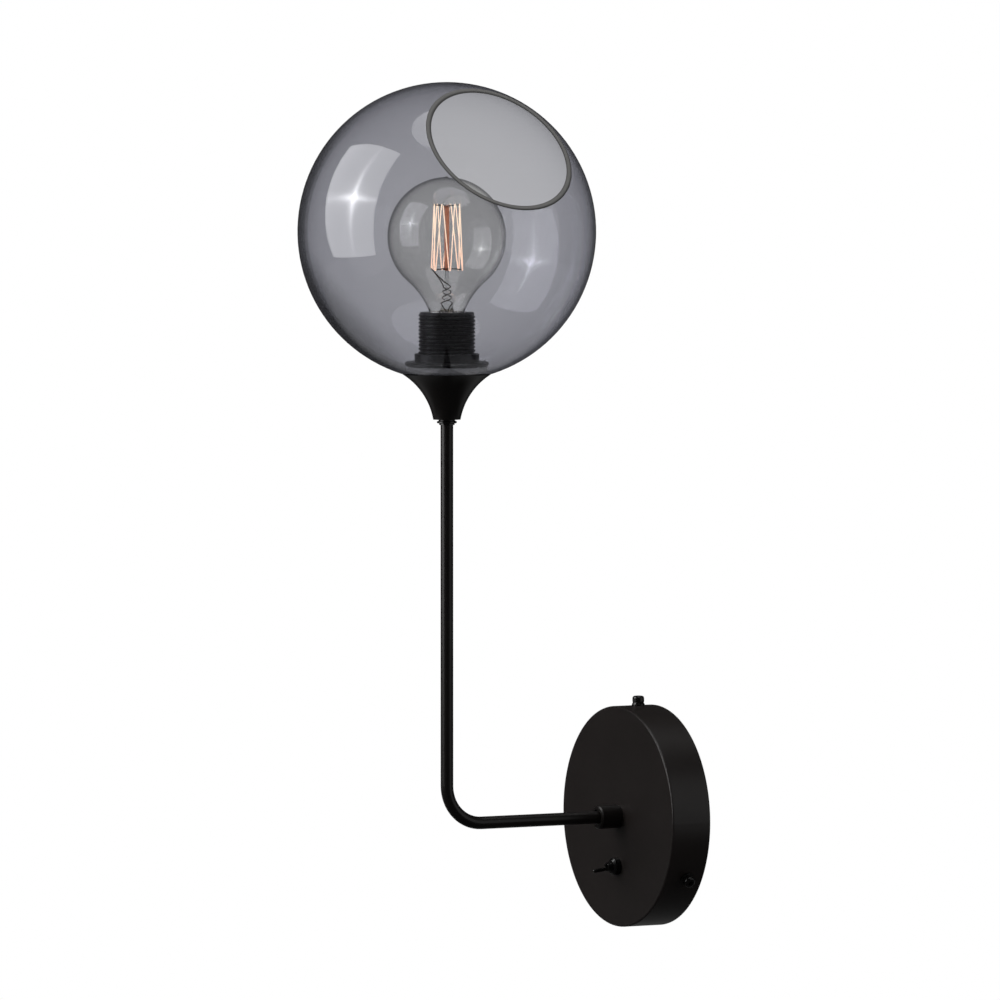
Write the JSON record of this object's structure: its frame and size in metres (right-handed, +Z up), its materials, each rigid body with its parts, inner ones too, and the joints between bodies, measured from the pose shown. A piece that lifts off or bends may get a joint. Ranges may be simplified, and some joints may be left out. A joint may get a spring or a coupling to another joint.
{
  "type": "globe wall sconce",
  "caption": "Wall sconce with a round canopy, a bent tube arm and a smoked glass globe cut open at a slant over a bare bulb; a toggle on the canopy switches it.",
  "frame": {"origin": "centre of the wall bracket's back, on the wall, between its two slotted screw holes", "axes": "+Z up along the upright, +Y into the wall, -Y out of the wall along the arm, +X to the right seen from the room"},
  "size_m": [0.2, 0.261, 0.5731],
  "materials": {
    "black_coat": "satin black powder coat, slightly warm",
    "black_gloss": "smooth black plated and lacquered hardware",
    "black_plastic": "moulded black thermoset, low sheen",
    "smoke_glass": "blown smoke-grey glass, polished, ground edge",
    "clear_glass": "clear thin lamp glass",
    "filament": "glowing carbon-style wire",
    "support_wire": "drawn dark wire",
    "nickel_cap": "rolled bright metal",
    "dark_insulator": "black glass insulator",
    "solder": "dull solder",
    "brass": "pressed brass",
    "zinc_steel": "bright zinc-plated steel",
    "pale_insulator": "pale moulded insulator",
    "clear_silicone": "translucent soft silicone",
    "black_rubber": "matte rubber",
    "wire_blue": "extruded insulation",
    "wire_black": "extruded insulation",
    "wire_brown": "extruded insulation",
    "wire_green_yellow": "extruded insulation with a green and yellow stripe"
  },
  "bodies": {
    "fixture": {"wall_bracket": "zinc_steel", "cable_grommet": "black_rubber", "canopy": "black_coat", "arm_socket": "black_coat", "arm_washer": "zinc_steel", "arm_nut": "zinc_steel", "arm_tube": "black_coat", "arm_nipple": "black_gloss", "cup_locknut": "black_gloss", "trumpet_cup": "black_coat", "cup_nut": "zinc_steel", "lampholder_cap": "black_plastic", "lampholder_barrel": "black_plastic", "contact_block": "pale_insulator", "contact_screws": "brass", "centre_contact": "brass", "side_contact": "brass", "shade_gasket": "clear_silicone", "switch_bushing": "black_gloss", "switch_dress_nut": "black_gloss", "switch_back_nut": "zinc_steel", "switch_housing": "black_plastic", "switch_lugs": "brass", "terminal_block": "pale_insulator", "terminal_screws": "zinc_steel", "earth_tag": "brass", "earth_screw": "zinc_steel", "wire_neutral": "wire_blue", "wire_switched": "wire_black", "wire_live": "wire_brown", "wire_earth": "wire_green_yellow"},
    "globe": {"glass_globe": "smoke_glass"},
    "shade_ring": {"shade_ring": "black_plastic"},
    "bulb": {"bulb_glass": "clear_glass", "bulb_cap": "nickel_cap", "bulb_insulator": "dark_insulator", "bulb_contact": "solder", "bulb_stem": "clear_glass", "bulb_filament": "filament", "bulb_supports": "support_wire"},
    "switch_lever": {"switch_lever": "black_gloss"},
    "switch_rocker": {"switch_rocker": "brass"},
    "side_screw_top": {"side_screw_top": "black_gloss"},
    "side_screw_left": {"side_screw_left": "black_gloss"},
    "side_screw_right": {"side_screw_right": "black_gloss"}
  },
  "joints": [
    {"name": "globe_turn", "type": "hinge", "parent": "fixture", "child": "globe", "pos_m": [0, -0.161, 0.3981], "axis": [0, 0, 1], "continuous": true},
    {"name": "shade_ring_unscrew", "type": "slide", "parent": "fixture", "child": "shade_ring", "axis": [0, 0, 1], "range_m": [0, 0.026]},
    {"name": "bulb_unscrew", "type": "slide", "parent": "fixture", "child": "bulb", "axis": [0, 0, 1], "range_m": [0, 0.03]},
    {"name": "switch_toggle", "type": "hinge", "parent": "fixture", "child": "switch_lever", "pos_m": [0, -0.0278, -0.034], "axis": [-1, 0, 0], "range_deg": [0, 15]},
    {"name": "switch_rocker_tip", "type": "hinge", "parent": "fixture", "child": "switch_rocker", "pos_m": [0, -0.0215, -0.034], "axis": [1, 0, 0], "range_deg": [0, 18]},
    {"name": "side_screw_top_unscrew", "type": "slide", "parent": "fixture", "child": "side_screw_top", "axis": [0, 0, 1], "range_m": [0, 0.006]},
    {"name": "side_screw_left_unscrew", "type": "slide", "parent": "fixture", "child": "side_screw_left", "axis": [-0.866, 0, -0.5], "range_m": [0, 0.006]},
    {"name": "side_screw_right_unscrew", "type": "slide", "parent": "fixture", "child": "side_screw_right", "axis": [0.866, 0, -0.5], "range_m": [0, 0.006]}
  ],
  "couplings": [
    {"joint": "switch_rocker_tip", "follows": "switch_toggle", "ratio": 1.2}
  ]
}
